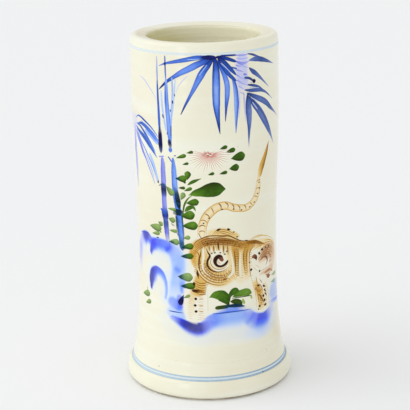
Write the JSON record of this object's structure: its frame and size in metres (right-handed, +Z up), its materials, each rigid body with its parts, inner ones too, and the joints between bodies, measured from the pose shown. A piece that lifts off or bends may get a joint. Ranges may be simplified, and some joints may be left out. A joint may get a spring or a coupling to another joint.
{
  "type": "ceramic brush pot",
  "caption": "Tall glazed ceramic brush pot: slightly waisted cylinder, thick rounded lip, deep open well, swelling foot ring.",
  "frame": {"origin": "centre of the foot ring's underside, on the surface the pot stands on", "axes": "+Z up along the pot's axis, -Y out of the painted front, +X to the right seen from the front"},
  "size_m": [0.1174, 0.1174, 0.2454],
  "materials": {
    "clay": "matt fired stoneware",
    "foot_clay": "matt bare stoneware",
    "outer_glaze": "gloss cream glaze",
    "inner_glaze": "gloss cream glaze"
  },
  "bodies": {
    "root": {"thrown_wall": "clay", "foot_ring": "foot_clay", "floor_slab": "foot_clay", "outer_glaze": "outer_glaze", "inner_glaze": "inner_glaze"}
  },
  "joints": []
}
